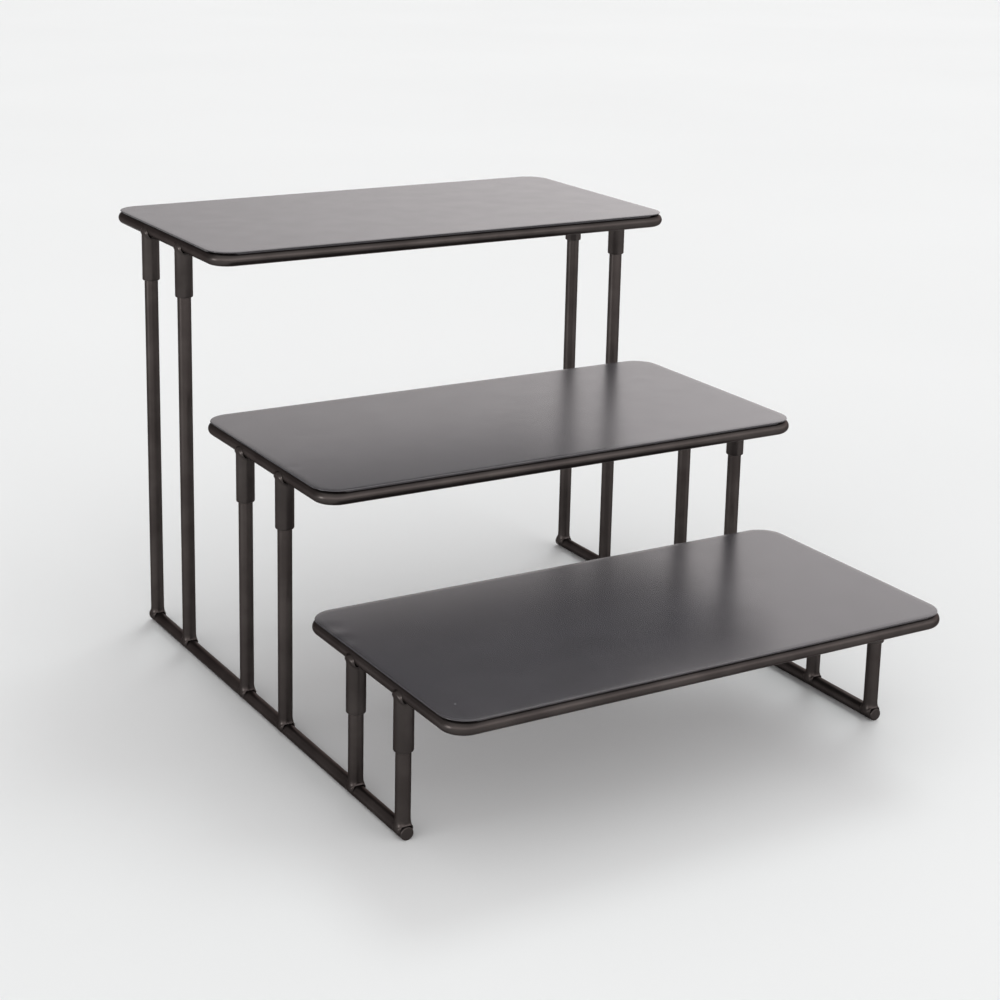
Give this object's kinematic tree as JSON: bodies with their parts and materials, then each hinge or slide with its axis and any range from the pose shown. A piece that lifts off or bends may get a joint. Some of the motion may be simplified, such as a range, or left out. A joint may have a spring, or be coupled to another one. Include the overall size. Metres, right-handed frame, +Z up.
{
  "type": "tiered shelf riser",
  "caption": "Free-standing stepped shelf riser: flat sheet-steel shelves on bent-rod rims, whose sleeves drop over the legs of two welded side frames.",
  "frame": {"origin": "on the floor, at the centre of the whole object's footprint, which is under the centre of the middle tier", "axes": "+X to the right along the shelves' long sides, +Y from the lowest front tier to the highest rear tier, +Z up"},
  "size_m": [0.389, 0.5388, 0.317],
  "materials": {
    "side_frame_coating": "satin black-brown powder coat on steel tube and rod",
    "shelf_rim_coating": "satin black-brown powder coat on steel rod and welded sleeves",
    "shelf_plate_coating": "satin black powder coat on sheet steel, smoother than the frame"
  },
  "bodies": {
    "side_frames": {"left_rail": "side_frame_coating", "right_rail": "side_frame_coating", "left_leg_bottom_front": "side_frame_coating", "left_leg_bottom_rear": "side_frame_coating", "left_leg_middle_front": "side_frame_coating", "left_leg_middle_rear": "side_frame_coating", "left_leg_top_front": "side_frame_coating", "left_leg_top_rear": "side_frame_coating", "right_leg_bottom_front": "side_frame_coating", "right_leg_bottom_rear": "side_frame_coating", "right_leg_middle_front": "side_frame_coating", "right_leg_middle_rear": "side_frame_coating", "right_leg_top_front": "side_frame_coating", "right_leg_top_rear": "side_frame_coating"},
    "bottom_shelf": {"bottom_plate": "shelf_plate_coating", "bottom_rim": "shelf_rim_coating", "bottom_sleeve_left_front": "shelf_rim_coating", "bottom_sleeve_left_rear": "shelf_rim_coating", "bottom_sleeve_right_front": "shelf_rim_coating", "bottom_sleeve_right_rear": "shelf_rim_coating"},
    "middle_shelf": {"middle_plate": "shelf_plate_coating", "middle_rim": "shelf_rim_coating", "middle_sleeve_left_front": "shelf_rim_coating", "middle_sleeve_left_rear": "shelf_rim_coating", "middle_sleeve_right_front": "shelf_rim_coating", "middle_sleeve_right_rear": "shelf_rim_coating"},
    "top_shelf": {"top_plate": "shelf_plate_coating", "top_rim": "shelf_rim_coating", "top_sleeve_left_front": "shelf_rim_coating", "top_sleeve_left_rear": "shelf_rim_coating", "top_sleeve_right_front": "shelf_rim_coating", "top_sleeve_right_rear": "shelf_rim_coating"}
  },
  "joints": [
    {"name": "bottom_shelf_lift", "type": "slide", "parent": "side_frames", "child": "bottom_shelf", "axis": [0, 0, 1], "range_m": [0, 0.06]},
    {"name": "middle_shelf_lift", "type": "slide", "parent": "side_frames", "child": "middle_shelf", "axis": [0, 0, 1], "range_m": [0, 0.06]},
    {"name": "top_shelf_lift", "type": "slide", "parent": "side_frames", "child": "top_shelf", "axis": [0, 0, 1], "range_m": [0, 0.06]}
  ]
}
